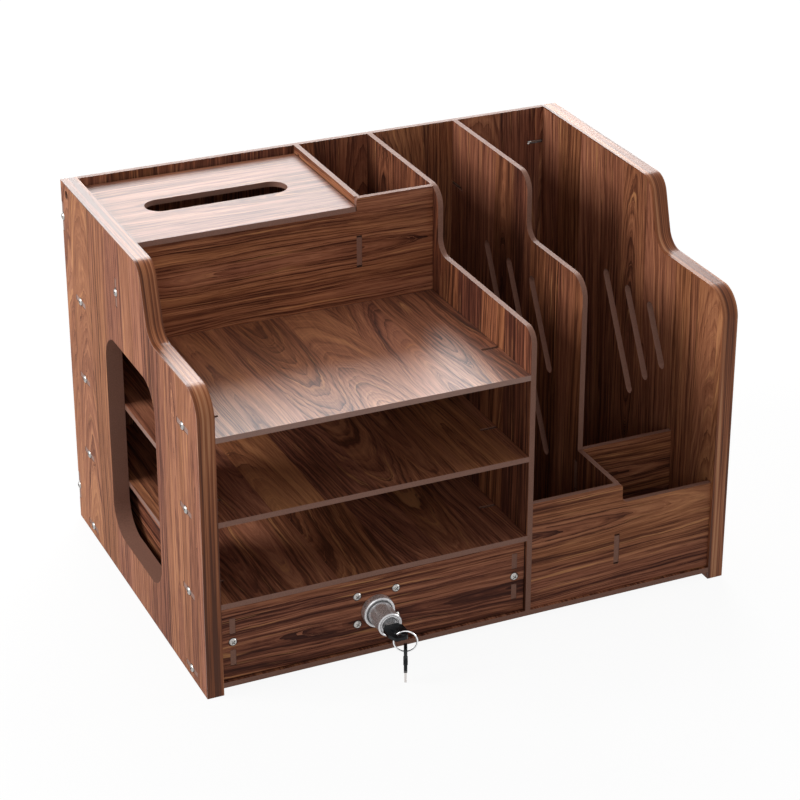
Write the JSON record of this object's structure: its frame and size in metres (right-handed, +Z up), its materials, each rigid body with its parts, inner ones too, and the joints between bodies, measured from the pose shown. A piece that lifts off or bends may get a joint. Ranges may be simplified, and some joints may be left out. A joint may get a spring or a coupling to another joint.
{
  "type": "letter tray stack with drawer",
  "caption": "Wooden desk organiser with letter trays over a locking drawer, a tissue box with hinged lid, a pen well and upright file bays.",
  "frame": {"origin": "middle of the footprint on the desk, with the keys and screw heads counted", "axes": "+X to the right as seen by the user, +Y to the back, +Z up"},
  "size_m": [0.5028, 0.4045, 0.344],
  "materials": {
    "walnut_panel": "satin walnut foil with upright grain",
    "walnut_strip": "satin walnut edging with stripes along it",
    "walnut_board": "satin dark walnut foil with bare mauve-brown edges",
    "lock_metal": "satin nickel",
    "zinc_plate": "zinc plated",
    "key_steel": "bright nickel plated",
    "ring_chrome": "polished",
    "screw_steel": "bright zinc",
    "black_plastic": "moulded black"
  },
  "bodies": {
    "carcass": {"left_side_panel": "walnut_panel", "right_side_panel": "walnut_panel", "left_edge_band": "walnut_strip", "right_edge_band": "walnut_strip", "back_panel": "walnut_board", "bottom_panel": "walnut_board", "lower_shelf": "walnut_board", "middle_shelf": "walnut_board", "top_shelf": "walnut_board", "tray_divider": "walnut_board", "file_divider": "walnut_board", "tissue_front_panel": "walnut_board", "tissue_partition": "walnut_board", "front_panel": "walnut_board", "cross_partition": "walnut_board", "left_side_screws": "screw_steel", "right_side_screws": "screw_steel", "back_screws": "screw_steel", "bottom_screws": "screw_steel", "tray_divider_screws": "screw_steel"},
    "lid": {"tissue_lid": "walnut_board"},
    "drawer": {"drawer_front": "walnut_board", "drawer_left_side": "walnut_board", "drawer_right_side": "walnut_board", "drawer_back": "walnut_board", "drawer_bottom": "walnut_board", "lock_barrel": "lock_metal", "lock_case": "zinc_plate", "lock_screws": "screw_steel", "drawer_screws": "screw_steel"},
    "plug": {"lock_plug": "key_steel"},
    "bolt": {"lock_bolt": "zinc_plate"},
    "key": {"key_blade": "key_steel", "key_head": "black_plastic"},
    "ring": {"key_ring": "ring_chrome"},
    "spare_key": {"spare_key_head": "black_plastic", "spare_key_blade": "key_steel"}
  },
  "joints": [
    {"name": "lid_hinge", "type": "hinge", "parent": "carcass", "child": "lid", "pos_m": [-0.1305, 0.18427, 0.3345], "axis": [-1, 0, 0], "range_deg": [0, 125]},
    {"name": "drawer_slide", "type": "slide", "parent": "carcass", "child": "drawer", "axis": [0, -1, 0], "range_m": [0, 0.25]},
    {"name": "plug_turn", "type": "hinge", "parent": "drawer", "child": "plug", "pos_m": [-0.09325, -0.14613, 0.0475], "axis": [0, 1, 0], "range_deg": [0, 90]},
    {"name": "bolt_lift", "type": "slide", "parent": "drawer", "child": "bolt", "axis": [0, 0, 1], "range_m": [0, 0.004]},
    {"name": "key_pull", "type": "slide", "parent": "plug", "child": "key", "axis": [0, -1, 0], "range_m": [0, 0.03]},
    {"name": "ring_hang", "type": "hinge", "parent": "key", "child": "ring", "pos_m": [-0.09325, -0.19093, 0.0475], "axis": [0, 1, 0], "range_deg": [-90, 0]},
    {"name": "spare_swing", "type": "hinge", "parent": "ring", "child": "spare_key", "pos_m": [-0.08763, -0.19344, 0.03066], "axis": [0.9135, -0.4067, 0], "range_deg": [-20, 20]}
  ],
  "couplings": [
    {"joint": "bolt_lift", "follows": "plug_turn", "m_per_rad": 0.0025465},
    {"joint": "ring_hang", "follows": "plug_turn", "ratio": -1}
  ]
}
